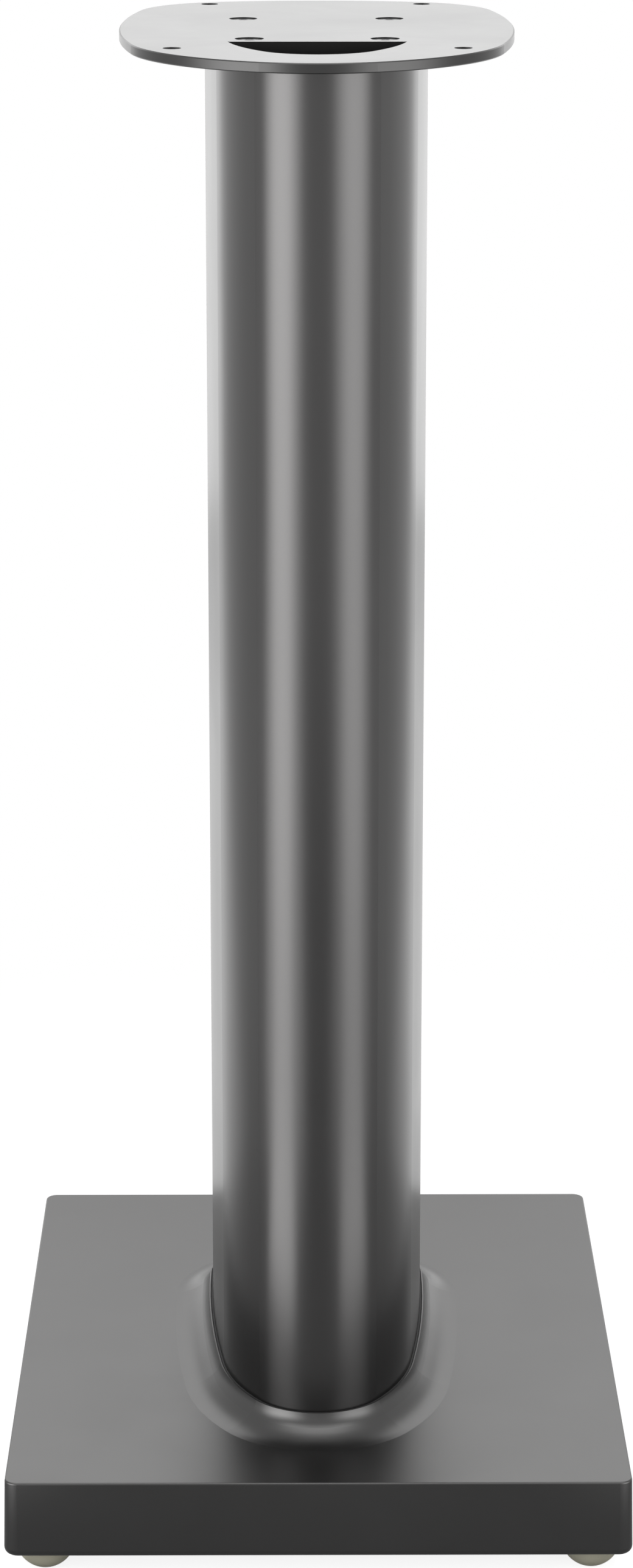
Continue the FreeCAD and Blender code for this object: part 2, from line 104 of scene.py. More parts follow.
class Wiring:
    """Adds nodes to a node tree and joins them."""

    def __init__(self, tree: bpy.types.NodeTree) -> None:
        """Take over a tree and empty it."""
        self.tree = tree
        tree.nodes.clear()

    def node(self, kind: str, inputs: dict | None = None, **settings: object) -> bpy.types.Node:
        """Add a node, set it up and feed its inputs.

        Args:
            kind: Type name of the node.
            inputs: Values or sockets for its inputs, by input name or number.
            settings: The node's own properties.

        Returns:
            The new node.
        """
        made = self.tree.nodes.new(kind)
        for name, value in settings.items():
            setattr(made, name, value)
        for key, value in (inputs or {}).items():
            self.feed(made.inputs[key], value)
        return made

    def feed(self, target: bpy.types.NodeSocket, value: object) -> None:
        """Join a socket to an input, or write a value on it.

        Args:
            target: The input to feed.
            value: Another node's output, or a plain value.
        """
        if isinstance(value, bpy.types.NodeSocket):
            self.tree.links.new(value, target)
        else:
            target.default_value = value

    def math(self, operation: str, *values: object) -> bpy.types.NodeSocket:
        """Add a math node.

        Args:
            operation: Name of the operation.
            values: Its one, two or three operands, numbers or sockets.

        Returns:
            The result's socket.
        """
        return self.node("ShaderNodeMath", dict(enumerate(values)), operation=operation).outputs[0]

    def between(self, mask: bpy.types.NodeSocket, low: float, high: float) -> bpy.types.NodeSocket:
        """Spread a mask from 0 to 1 over a range.

        Args:
            mask: The varying value.
            low: Result where the mask is 0.
            high: Result where the mask is 1.

        Returns:
            The spread value's socket.
        """
        return self.math("MULTIPLY_ADD", mask, high - low, low)


def socket(tree: bpy.types.NodeTree, name: str, kind: str, output: bool = False,
           default: object = None) -> None:
    """Give a node group a named input or output.

    Args:
        tree: The node group.
        name: Name shown on the group.
        kind: Short name of the socket type, such as Float.
        output: True for an output.
        default: Value of an input that nothing feeds.
    """
    made = tree.interface.new_socket(
        name=name, in_out="OUTPUT" if output else "INPUT", socket_type=f"NodeSocket{kind}")
    if default is not None:
        made.default_value = default


# ---- Surface effects shared by the finishes ----------------------------------

@dataclass
class SurfaceEffects:
    """Shader groups that several finishes share, each built once."""

    mark_turn: Point = (0.3, 0.2, 0.6)
    mark_stretch: Point = (1.0, 9.0, 3.0)
    mark_contrast: float = 9.0
    patch_scale: float = 14.0
    grain: bpy.types.NodeTree = field(init=False)
    scuffs: bpy.types.NodeTree = field(init=False)

    def __post_init__(self) -> None:
        """Build both groups."""
        self.grain = self.build_grain()
        self.scuffs = self.build_scuffs()

    def build_grain(self) -> bpy.types.NodeTree:
        """Fine grain of a blasted or powder-coated surface, over a wide soft mottle.

        Returns:
            A group with the outputs Grain and Mottle, both from 0 to 1.
        """
        tree = bpy.data.node_groups.new("fine_grain", "ShaderNodeTree")
        socket(tree, "Position", "Vector")
        socket(tree, "Grain Scale", "Float", default=2000.0)
        socket(tree, "Mottle Scale", "Float", default=20.0)
        socket(tree, "Grain", "Float", output=True)
        socket(tree, "Mottle", "Float", output=True)
        wire = Wiring(tree)
        given = wire.node("NodeGroupInput").outputs
        fine = wire.node("ShaderNodeTexNoise", {
            "Vector": given["Position"], "Scale": given["Grain Scale"],
            "Detail": 3.0, "Roughness": 0.65})
        wide = wire.node("ShaderNodeTexNoise", {
            "Vector": given["Position"], "Scale": given["Mottle Scale"],
            "Detail": 4.0, "Roughness": 0.5, "Distortion": 0.4})
        wire.node("NodeGroupOutput", {"Grain": fine.outputs[0], "Mottle": wide.outputs[0]})
        return tree

    def build_scuffs(self) -> bpy.types.NodeTree:
        """Sparse short rub marks, as handling leaves on a satin finish.

        Returns:
            A group with the output Mask, from 0 to 1.
        """
        tree = bpy.data.node_groups.new("rub_marks", "ShaderNodeTree")
        socket(tree, "Position", "Vector")
        socket(tree, "Size", "Float", default=60.0)
        socket(tree, "Sparseness", "Float", default=0.62)
        socket(tree, "Mask", "Float", output=True)
        wire = Wiring(tree)
        given = wire.node("NodeGroupInput").outputs
        stretched = wire.node("ShaderNodeMapping", {
            "Vector": given["Position"], "Rotation": self.mark_turn,
            "Scale": self.mark_stretch})
        marks = wire.node("ShaderNodeTexNoise", {
            "Vector": stretched.outputs[0], "Scale": given["Size"],
            "Detail": 6.0, "Roughness": 0.7})
        patches = wire.node("ShaderNodeTexNoise", {
            "Vector": given["Position"], "Scale": self.patch_scale, "Detail": 2.0})
        above = wire.math("SUBTRACT", marks.outputs[0], given["Sparseness"])
        sharp = wire.math("MULTIPLY", above, self.mark_contrast)
        clipped = wire.node("ShaderNodeClamp", {"Value": sharp}).outputs[0]
        wire.node("NodeGroupOutput", {
            "Mask": wire.math("MULTIPLY", clipped, patches.outputs[0])})
        return tree


# ---- Finishes ----------------------------------------------------------------

@dataclass(frozen=True)
class Finish:
    """A surface finish: a tone broken up by grain, mottle and rub marks."""

    name: str
    slot: Slot
    tone: Colour
    metallic: float
    roughness: float
    roughness_swing: float = 0.04
    tone_swing: float = 0.08
    grain_share: float = 0.6
    grain_scale: float = 2200.0
    mottle_scale: float = 18.0
    grain_height: float = 0.00002
    grain_strength: float = 0.25
    scuff_size: float = 60.0
    scuff_gloss: float = 0.05
    refraction: float = 1.5

    def shade(self, level: float) -> tuple[float, float, float, float]:
        """The tone made lighter or darker by a factor, with full alpha."""
        return tuple(min(1.0, part * level) for part in self.tone) + (1.0,)

    def build(self, effects: SurfaceEffects) -> bpy.types.Material:
        """Make the material.

        Args:
            effects: The shared shader groups.

        Returns:
            The finished material.
        """
        material = bpy.data.materials.new(self.name)
        material.use_nodes = True
        wire = Wiring(material.node_tree)
        position = wire.node("ShaderNodeTexCoord").outputs["Object"]
        grain = wire.node("ShaderNodeGroup", node_tree=effects.grain)
        wire.feed(grain.inputs["Position"], position)
        wire.feed(grain.inputs["Grain Scale"], self.grain_scale)
        wire.feed(grain.inputs["Mottle Scale"], self.mottle_scale)
        scuffs = wire.node("ShaderNodeGroup", node_tree=effects.scuffs)
        wire.feed(scuffs.inputs["Position"], position)
        wire.feed(scuffs.inputs["Size"], self.scuff_size)

        fine = wire.math("MULTIPLY", grain.outputs["Grain"], self.grain_share)
        wide = wire.math("MULTIPLY", grain.outputs["Mottle"], 1 - self.grain_share)
        blend = wire.math("ADD", fine, wide)
        colour = wire.node("ShaderNodeMix", {
            MIX_FACTOR: blend, MIX_FIRST: self.shade(1 - self.tone_swing),
            MIX_SECOND: self.shade(1 + self.tone_swing)}, data_type="RGBA")
        swing = wire.between(grain.outputs["Mottle"], self.roughness - self.roughness_swing,
                             self.roughness + self.roughness_swing)
        rubbed = wire.math("MULTIPLY_ADD", scuffs.outputs["Mask"], -self.scuff_gloss, swing)
        bump = wire.node("ShaderNodeBump", {
            "Strength": self.grain_strength, "Distance": self.grain_height,
            "Height": grain.outputs["Grain"]})
        shader = wire.node("ShaderNodeBsdfPrincipled", {
            "Base Color": colour.outputs[MIX_RESULT], "Metallic": self.metallic,
            "Roughness": rubbed, "IOR": self.refraction, "Normal": bump.outputs[0]})
        wire.node("ShaderNodeOutputMaterial", {"Surface": shader.outputs[0]})
        return material


PLATE_PAINT = Finish("plate_graphite", Slot.PLATE, (0.050, 0.0496, 0.0492),
                     metallic=1.0, roughness=0.33)
COLUMN_FINISH = Finish("column_graphite", Slot.COLUMN, (0.072, 0.0708, 0.0705),
                       metallic=1.0, roughness=0.30, mottle_scale=9.0, grain_scale=2600.0)
BASE_PAINT = Finish("base_graphite", Slot.BASE, (0.067, 0.0665, 0.066),
                    metallic=1.0, roughness=0.33)
BALLAST_STEEL = Finish("ballast_black", Slot.BALLAST, (0.035, 0.035, 0.036),
                       metallic=0.6, roughness=0.55, tone_swing=0.2,
                       grain_scale=900.0, grain_height=0.00006)
BLACK_STEEL = Finish("black_oxide", Slot.BLACK_STEEL, (0.05, 0.05, 0.052),
                     metallic=1.0, roughness=0.38, tone_swing=0.15, scuff_size=220.0)
ZINC_STEEL = Finish("zinc_plated", Slot.ZINC, (0.56, 0.57, 0.58),
                    metallic=1.0, roughness=0.33, tone_swing=0.1,
                    scuff_size=240.0, mottle_scale=120.0)
TURNED_BRASS = Finish("turned_brass", Slot.BRASS, (0.62, 0.47, 0.22),
                      metallic=1.0, roughness=0.3, tone_swing=0.1,
                      scuff_size=240.0, mottle_scale=150.0)
SEAL_RUBBER = Finish("seal_black", Slot.SEAL, (0.018, 0.018, 0.018),
                     metallic=0.0, roughness=0.7, tone_swing=0.25, grain_scale=1400.0)
BUSH_PLASTIC = Finish("bush_black", Slot.BUSH, (0.03, 0.03, 0.031),
                      metallic=0.0, roughness=0.45, tone_swing=0.15, grain_scale=1500.0)
FOOT_RUBBER = Finish("foot_cream", Slot.FOOT, (0.40, 0.385, 0.30),
                     metallic=0.0, roughness=0.62, tone_swing=0.07,
                     grain_scale=1300.0, mottle_scale=140.0, grain_height=0.00005)

FINISHES = (PLATE_PAINT, COLUMN_FINISH, BASE_PAINT, BALLAST_STEEL, BLACK_STEEL, ZINC_STEEL,
            TURNED_BRASS, SEAL_RUBBER, BUSH_PLASTIC, FOOT_RUBBER)


class Paintbox:
    """Every finish as a ready material."""

    def __init__(self, finishes: tuple[Finish, ...]) -> None:
        """Build the shared effects and then each finish."""
        effects = SurfaceEffects()
        self.materials = {finish.slot: finish.build(effects) for finish in finishes}

    def __getitem__(self, slot: Slot) -> bpy.types.Material:
        """The material of a slot."""
        return self.materials[slot]

    def dress(self, node: str, slot: Slot) -> None:
        """Give a fixed node its finish.

        Args:
            node: Name of the node.
            slot: Slot that the node's finish comes from.
        """
        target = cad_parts[node]
        target.data.materials.clear()
        target.data.materials.append(self[slot])
        log.info("%s: finish %s", node, self[slot].name)


# ---- Turned pieces -----------------------------------------------------------

@dataclass(frozen=True)
class Turning:
    """Sizes of a turned piece, in metres, with its outer end at height 0.

    The profile runs from the axis, over the outside, back to the axis.
    """

    profile: tuple[ProfilePoint, ...]
    sides: int = 48
    pitch: float = 0.001
    thread_depth: float = 0.0
    thread_low: float = 0.0
    thread_high: float = 0.0
    ridges: int = 0
    ridge_depth: float = 0.0
    ridge_low: float = 0.0
    ridge_high: float = 0.0
    key: float = 0.0
    key_depth: float = 0.001
    facing: Facing = Facing.UP


class Lathe:
    """Geometry Nodes tree that turns a profile and sets the result on its places."""

    INPUTS = (
        ("Sides", "Int"), ("Pitch", "Float"), ("Thread Depth", "Float"),
        ("Thread Low", "Float"), ("Thread High", "Float"), ("Ridges", "Int"),
        ("Ridge Depth", "Float"), ("Ridge Low", "Float"), ("Ridge High", "Float"),
        ("Key", "Float"), ("Key Depth", "Float"), ("Turn", "Vector"),
        ("Places", "Object"), ("Finish", "Material"),
    )

    def __init__(self, paint: Paintbox) -> None:
        """Build the tree once for every turned piece.

        Args:
            paint: The finishes that the pieces are given.
        """
        self.paint = paint
        self.tree = bpy.data.node_groups.new("turned_piece", "GeometryNodeTree")
        socket(self.tree, "Profile", "Geometry")
        for name, kind in self.INPUTS:
            socket(self.tree, name, kind)
        socket(self.tree, "Piece", "Geometry", output=True)
        self.wire = Wiring(self.tree)
        self.given = self.wire.node("NodeGroupInput").outputs
        solid = self.with_key(self.closed(self.turned()))
        self.finished(solid)

    def within(self, height: bpy.types.NodeSocket, low: str, high: str) -> bpy.types.NodeSocket:
        """Mask of the heights between two inputs.

        Args:
            height: Height of each point.
            low: Name of the lower limit's input.
            high: Name of the upper limit's input.

        Returns:
            A socket that is 1 between the limits and 0 elsewhere.
        """
        over = self.wire.math("GREATER_THAN", height, self.given[low])
        under = self.wire.math("LESS_THAN", height, self.given[high])
        return self.wire.math("MULTIPLY", over, under)

    def turned(self) -> bpy.types.NodeSocket:
        """Turn the profile into rows of points, cut by the thread and the grip ridges.

        Returns:
            The open surface's socket.
        """
        wire, given = self.wire, self.given
        size = wire.node("GeometryNodeAttributeDomainSize", {"Geometry": given["Profile"]},
                         component="MESH")
        columns = wire.math("ADD", given["Sides"], 1.0)
        grid = wire.node("GeometryNodeMeshGrid", {
            "Vertices X": size.outputs["Point Count"], "Vertices Y": columns})
        index = wire.node("GeometryNodeInputIndex").outputs[0]
        row = wire.math("FLOOR", wire.math("DIVIDE", wire.math("ADD", index, 0.5), columns))
        column = wire.math("SUBTRACT", index, wire.math("MULTIPLY", row, columns))
        share = wire.math("DIVIDE", column, given["Sides"])
        angle = wire.math("MULTIPLY", share, 2 * math.pi)

        place = wire.node("GeometryNodeSampleIndex", {
            "Geometry": given["Profile"], "Index": row}, data_type="FLOAT_VECTOR")
        wire.feed(place.inputs["Value"], wire.node("GeometryNodeInputPosition").outputs[0])
        split = wire.node("ShaderNodeSeparateXYZ", {0: place.outputs[0]})
        radius, height = split.outputs["X"], split.outputs["Z"]

        climb = wire.math("SUBTRACT", wire.math("DIVIDE", height, given["Pitch"]), share)
        wave = wire.math("ABSOLUTE", wire.math("SUBTRACT", wire.math("FRACT", climb), 0.5))
        groove = wire.math("MULTIPLY", wire.math("MULTIPLY", wave, 2.0), given["Thread Depth"])
        groove = wire.math("MULTIPLY", groove, self.within(height, "Thread Low", "Thread High"))
        ripple = wire.math("COSINE", wire.math("MULTIPLY", angle, given["Ridges"]))
        dip = wire.math("MULTIPLY", wire.math("SUBTRACT", 1.0, ripple), given["Ridge Depth"])
        dip = wire.math("MULTIPLY", dip, self.within(height, "Ridge Low", "Ridge High"))
        radius = wire.math("SUBTRACT", wire.math("SUBTRACT", radius, groove), dip)

        turned = wire.node("ShaderNodeCombineXYZ", {
            "X": wire.math("MULTIPLY", radius, wire.math("COSINE", angle)),
            "Y": wire.math("MULTIPLY", radius, wire.math("SINE", angle)),
            "Z": height})
        moved = wire.node("GeometryNodeSetPosition", {
            "Geometry": grid.outputs["Mesh"], "Position": turned.outputs[0]})
        return moved.outputs[0]

    def closed(self, surface: bpy.types.NodeSocket) -> bpy.types.NodeSocket:
        """Weld the seam and the poles."""
        return self.wire.node("GeometryNodeMergeByDistance", {
            "Geometry": surface, "Distance": WELD_DISTANCE}).outputs[0]

    def with_key(self, solid: bpy.types.NodeSocket) -> bpy.types.NodeSocket:
        """Cut a hexagon socket into the outer end where a key size is given.

        Args:
            solid: The closed solid's socket.

        Returns:
            The socket of the solid, cut or as it was.
        """
        wire, given = self.wire, self.given
        corner = wire.math("DIVIDE", given["Key"], math.sqrt(3))
        prism = wire.node("GeometryNodeMeshCylinder", {
            "Vertices": 6, "Radius": corner,
            "Depth": wire.math("MULTIPLY", given["Key Depth"], 2.0)})
        cut = wire.node("GeometryNodeMeshBoolean", {
            "Mesh 1": solid, "Mesh 2": prism.outputs["Mesh"]}, operation="DIFFERENCE")
        chosen = wire.node("GeometryNodeSwitch", {
            "Switch": wire.math("GREATER_THAN", given["Key"], 0.0),
            "False": solid, "True": cut.outputs["Mesh"]}, input_type="GEOMETRY")
        return chosen.outputs[0]

    def finished(self, solid: bpy.types.NodeSocket) -> None:
        """Set the solid on every place, smooth it and give it its finish.

        Args:
            solid: The closed solid's socket.
        """
        wire, given = self.wire, self.given
        places = wire.node("GeometryNodeObjectInfo", {"Object": given["Places"]})
        copies = wire.node("GeometryNodeInstanceOnPoints", {
            "Points": places.outputs["Geometry"], "Instance": solid, "Rotation": given["Turn"]})
        real = wire.node("GeometryNodeRealizeInstances", {"Geometry": copies.outputs[0]})
        smooth = wire.node("GeometryNodeSetShadeSmooth", {
            "Geometry": real.outputs[0], "Shade Smooth": True})
        bend = wire.node("GeometryNodeInputMeshEdgeAngle").outputs["Unsigned Angle"]
        crisp = wire.node("GeometryNodeSetShadeSmooth", {
            "Geometry": smooth.outputs[0], "Shade Smooth": False,
            "Selection": wire.math("GREATER_THAN", bend, CRISP_ANGLE)}, domain="EDGE")
        coated = wire.node("GeometryNodeSetMaterial", {
            "Geometry": crisp.outputs[0], "Material": given["Finish"]})
        wire.node("NodeGroupOutput", {"Piece": coated.outputs[0]})

    def make(self, name: str, turning: Turning, places: list[Point],
             material: bpy.types.Material) -> bpy.types.Object:
        """Turn a piece and set it on its places.

        Args:
            name: Name of the new piece.
            turning: The piece's sizes.
            places: Where each copy's outer end is.
            material: The piece's finish.

        Returns:
            A plain mesh object.
        """
        rows = [(radius, 0.0, height) for radius, height in turning.profile]
        blank = scratch_mesh("profile", rows)
        marks = scratch_mesh("places", places)
        values = {
            "Sides": turning.sides, "Pitch": turning.pitch,
            "Thread Depth": turning.thread_depth, "Thread Low": turning.thread_low,
            "Thread High": turning.thread_high, "Ridges": turning.ridges,
            "Ridge Depth": turning.ridge_depth, "Ridge Low": turning.ridge_low,
            "Ridge High": turning.ridge_high, "Key": turning.key,
            "Key Depth": turning.key_depth, "Turn": (turning.facing.value, 0.0, 0.0),
            "Places": marks, "Finish": material,
        }
        modifier = blank.modifiers.new("turning", "NODES")
        modifier.node_group = self.tree
        for item in self.tree.interface.items_tree:
            if item.in_out == "INPUT" and item.name in values:
                modifier[item.identifier] = values[item.name]
        evaluated = blank.evaluated_get(bpy.context.evaluated_depsgraph_get())
        mesh = bpy.data.meshes.new_from_object(evaluated)
        blank.modifiers.remove(modifier)
        for leftover in (blank, marks):
            bpy.data.objects.remove(leftover)
        face_outwards(mesh)
        mesh.name = name
        piece = bpy.data.objects.new(name, mesh)
        bpy.context.scene.collection.objects.link(piece)
        return piece

    def fit(self, name: str, node: str, turning: Turning, places: list[Point],
            slot: Slot, body: str = STAND_BODY) -> None:
        """Turn a piece in place of a plain node and let it ride on a body.

        Args:
            name: Name of the new piece.
            node: The node that the piece stands for.
            turning: The piece's sizes.
            places: Where each copy's outer end is.
            slot: Slot that its finish comes from.
            body: The body that it moves with.
        """
        piece = self.make(name, turning, places, self.paint[slot])
        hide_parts(node)
        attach(piece, body)
        log.info("%s: %d turned, riding on %s", name, len(places), body)


def scratch_mesh(name: str, points: list[Point]) -> bpy.types.Object:
    """A mesh object of loose points.

    Args:
        name: Name of the object.
        points: The points, in metres.

    Returns:
        The new object.
    """
    mesh = bpy.data.meshes.new(name)
    mesh.from_pydata(points, [], [])
    made = bpy.data.objects.new(name, mesh)
    bpy.context.scene.collection.objects.link(made)
    return made


def face_outwards(mesh: bpy.types.Mesh) -> None:
    """Weld a closed mesh and turn its faces outwards.

    Args:
        mesh: The mesh to mend in place.
    """
    work = bmesh.new()
    work.from_mesh(mesh)
    bmesh.ops.remove_doubles(work, verts=work.verts, dist=WELD_DISTANCE)
    bmesh.ops.recalc_face_normals(work, faces=work.faces)
    work.to_mesh(mesh)
    work.free()


def both_sides(places: tuple[PlanPoint, ...], height: float) -> list[Point]:
    """Each place and its mirror image, left before right, at one height."""
    return [(side * x, y, height) for x, y in places for side in (-1, 1)]


def threaded_run(radius: float, low: float, high: float, pitch: float) -> list[ProfilePoint]:
    """Profile rows down a shank, close enough together to carry a thread.

    Args:
        radius: Radius over the thread's crests.
        low: Lower end of the shank.
        high: Upper end of the shank.
        pitch: Height of one turn of the thread.

    Returns:
        Points from the upper to the lower end.
    """
    rows = max(2, round((high - low) / pitch * ROWS_PER_THREAD_TURN))
    return [(radius, high + (low - high) * step / rows) for step in range(rows + 1)]


# ---- Sub-assemblies ----------------------------------------------------------

@dataclass
class TopPlate:
    """The plate that the loudspeaker stands on, with its four countersunk screws."""

    paint: Paintbox
    lathe: Lathe
    head_radius: float = 0.0056
    head_land: float = 0.0004
    head_edge: float = 0.00015
    shank_radius: float = 0.003
    pitch: float = 0.001
    thread_depth: float = 0.0005
    tip_taper: float = 0.00075
    key: float = 0.004
    key_depth: float = 0.0028
    key_margin: float = 0.00045

    def build(self) -> None:
        """Dress the plate and turn its screws."""
        self.paint.dress("top_plate", Slot.PLATE)
        self.screws()

    def screws(self) -> None:
        """Four black countersunk socket screws, in place of the plain ones."""
        low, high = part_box("top_plate_screws")
        length = high[2] - low[2]
        neck = self.head_land + self.head_radius - self.shank_radius
        profile = [
            (0.0, 0.0), (self.key / 2 + self.key_margin, 0.0),
            (self.head_radius - self.head_edge, 0.0), (self.head_radius, -self.head_edge),
            (self.head_radius, -self.head_land), (self.shank_radius, -neck)]
        profile += threaded_run(self.shank_radius, -length + self.thread_depth,
                                -neck - self.pitch, self.pitch)
        profile += [(self.shank_radius - self.tip_taper, -length), (0.0, -length)]
        turning = Turning(
            tuple(profile), sides=40, pitch=self.pitch, thread_depth=self.thread_depth,
            thread_low=-length + self.thread_depth / 2, thread_high=-neck - self.pitch / 2,
            key=self.key, key_depth=self.key_depth)
        self.lathe.fit("plate_screw_set", "top_plate_screws", turning,
                       both_sides(PORT_PLACES, high[2]), Slot.BLACK_STEEL)


@dataclass
class Column:
    """The oval extrusion with its seal ring and the gasket under its end."""

    paint: Paintbox

    def build(self) -> None:
        """Dress the column and its soft parts."""
        self.paint.dress("column", Slot.COLUMN)
        self.paint.dress("column_seal", Slot.SEAL)
        self.paint.dress("column_gasket", Slot.SEAL)


@dataclass
class Base:
    """The casting with its ballast plate, its fasteners and the cable bush."""

    paint: Paintbox
    lathe: Lathe
    ballast_place: PlanPoint = (0.110, 0.072)
    bolt_radius: float = 0.003
    bolt_head_radius: float = 0.005
    bolt_head_height: float = 0.0033
    bolt_head_edge: float = 0.0003
    bolt_pitch: float = 0.001
    bolt_thread_length: float = 0.0205
    bolt_thread_depth: float = 0.0005
    bolt_tip_taper: float = 0.0006
    bolt_key: float = 0.004
    bolt_key_depth: float = 0.0023
    grip_ridges: int = 24
    grip_depth: float = 0.00012
    ballast_screw_radius: float = 0.0025
    ballast_screw_head: float = 0.0047
    ballast_screw_pitch: float = 0.0008
    ballast_screw_thread_depth: float = 0.0004
    ballast_screw_taper: float = 0.0005
    ballast_screw_key: float = 0.003

    def build(self) -> None:
        """Dress the castings and turn the fasteners."""
        self.paint.dress("base", Slot.BASE)
        self.paint.dress("ballast_plate", Slot.BALLAST)
        self.paint.dress("column_washers", Slot.ZINC)
        self.paint.dress("cable_bush", Slot.BUSH)
        self.paint.dress("foot_inserts", Slot.BRASS)
        self.bolts()
        self.ballast_screws()

    def bolts(self) -> None:
        """Four cap screws with grip ridges that hold the column down."""
        low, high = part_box("column_bolts")
        length = high[2] - low[2]
        edge = self.bolt_head_edge
        neck = -self.bolt_head_height
        shank_end = -length + self.bolt_thread_length
        profile = [
            (0.0, 0.0), (self.bolt_head_radius - edge, 0.0),
            (self.bolt_head_radius, -edge), (self.bolt_head_radius, -2 * edge),
            (self.bolt_head_radius, neck + edge), (self.bolt_head_radius, neck),
            (self.bolt_radius, neck), (self.bolt_radius, shank_end + self.bolt_pitch)]
        profile += threaded_run(self.bolt_radius, -length + edge, shank_end, self.bolt_pitch)
        profile += [(self.bolt_radius - self.bolt_tip_taper, -length), (0.0, -length)]
        turning = Turning(
            tuple(profile), sides=72, pitch=self.bolt_pitch,
            thread_depth=self.bolt_thread_depth,
            thread_low=-length + edge / 2, thread_high=shank_end + edge,
            ridges=self.grip_ridges, ridge_depth=self.grip_depth,
            ridge_low=neck + edge / 2, ridge_high=-edge * 1.5,
            key=self.bolt_key, key_depth=self.bolt_key_depth, facing=Facing.DOWN)
        self.lathe.fit("column_bolt_set", "column_bolts", turning,
                       both_sides(PORT_PLACES, low[2]), Slot.ZINC)

    def ballast_screws(self) -> None:
        """Four countersunk screws that hold the ballast plate up."""
        low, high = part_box("ballast_screws")
        length = high[2] - low[2]
        neck = self.ballast_screw_radius - self.ballast_screw_head
        thread = self.ballast_screw_thread_depth
        profile = [(0.0, 0.0), (self.ballast_screw_head, 0.0), (self.ballast_screw_radius, neck)]
        profile += threaded_run(self.ballast_screw_radius, -length + thread,
                                neck - self.ballast_screw_pitch, self.ballast_screw_pitch)
        profile += [(self.ballast_screw_radius - self.ballast_screw_taper, -length),
                    (0.0, -length)]
        turning = Turning(
            tuple(profile), sides=32, pitch=self.ballast_screw_pitch, thread_depth=thread,
            thread_low=-length + thread / 2, thread_high=neck - self.ballast_screw_pitch / 2,
            key=self.ballast_screw_key, key_depth=self.ballast_screw_head / 2,
            facing=Facing.DOWN)
        x, y = self.ballast_place
        self.lathe.fit("ballast_screw_set", "ballast_screws", turning,
                       both_sides(((x, -y), (x, y)), low[2]), Slot.ZINC)


@dataclass
class LevellingFoot:
    """One levelling foot: a rubber dome moulded on the flange of a threaded stud."""

    corner: Corner
    lathe: Lathe
    stud_radius: float = 0.004
    flange_radius: float = 0.008
    flange_thickness: float = 0.002
    pitch: float = 0.00125
    thread_depth: float = 0.00065
    tip_taper: float = 0.00104
    dome_radius: float = 0.0122
    dome_flat: float = 0.0003
    dome_lip: float = 0.0005
    lip_roundness: float = 0.3
    clearance: float = 0.00005
    dome_rows: int = 18

    def build(self) -> None:
        """Make the stud and its dome."""
        self.stud()
        self.dome()

    def stud(self) -> None:
        """Threaded stud, in place of the plain one."""
        node = f"foot_stud_{self.corner.value}"
        low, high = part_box(node)
        length = high[2] - low[2]
        tip = self.tip_taper
        flange_top = -length + self.flange_thickness
        profile = [(0.0, 0.0), (self.stud_radius - tip, 0.0)]
        profile += threaded_run(self.stud_radius, flange_top + self.pitch, -tip, self.pitch)
        profile += [(self.stud_radius, flange_top), (self.flange_radius, flange_top),
                    (self.flange_radius, -length), (0.0, -length)]
        turning = Turning(
            tuple(profile), sides=40, pitch=self.pitch, thread_depth=self.thread_depth,
            thread_low=flange_top + self.pitch / 2, thread_high=-tip / 2)
        self.lathe.fit(f"threaded_stud_{self.corner.value}", node, turning,
                       [self.upper_end(node)], Slot.ZINC, f"stud_{self.corner.value}")

    def dome(self) -> None:
        """Smooth moulded dome, in place of the banded one."""
        node = f"foot_dome_{self.corner.value}"
        low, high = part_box(node)
        height = high[2] - low[2]
        centre = self.dome_radius - self.dome_flat
        start = math.asin(-centre / self.dome_radius)
        end = math.asin((height - centre) / self.dome_radius)
        lip = self.dome_lip
        bore = self.stud_radius + self.clearance
        pocket = self.flange_radius + self.clearance
        stud_low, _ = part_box(f"foot_stud_{self.corner.value}")
        floor = stud_low[2] - low[2] - self.clearance
        ceiling = floor + self.flange_thickness + 2 * self.clearance
        outside = []
        for step in range(self.dome_rows + 1):
            angle = start + (end - start) * step / self.dome_rows
            outside.append((self.dome_radius * math.cos(angle),
                            centre + self.dome_radius * math.sin(angle) - height))
        rim = outside.pop()
        bulge = lip * self.lip_roundness
        outside += [(rim[0], -lip), (rim[0] - bulge, -bulge), (rim[0] - lip, 0.0)]
        profile = [(0.0, -height)] + outside + [
            (bore, 0.0), (bore, ceiling - height), (pocket, ceiling - height),
            (pocket, floor - height), (0.0, floor - height)]
        turning = Turning(tuple(profile), sides=72)
        self.lathe.fit(f"moulded_dome_{self.corner.value}", node, turning,
                       [self.upper_end(node)], Slot.FOOT, f"dome_{self.corner.value}")

    def upper_end(self, node: str) -> Point:
        """Middle of the upper end of a node.

        Args:
            node: Name of the node.

        Returns:
            The place, in metres.
        """
        low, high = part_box(node)
        return ((low[0] + high[0]) / 2, (low[1] + high[1]) / 2, high[2])


# ---- Studio ------------------------------------------------------------------

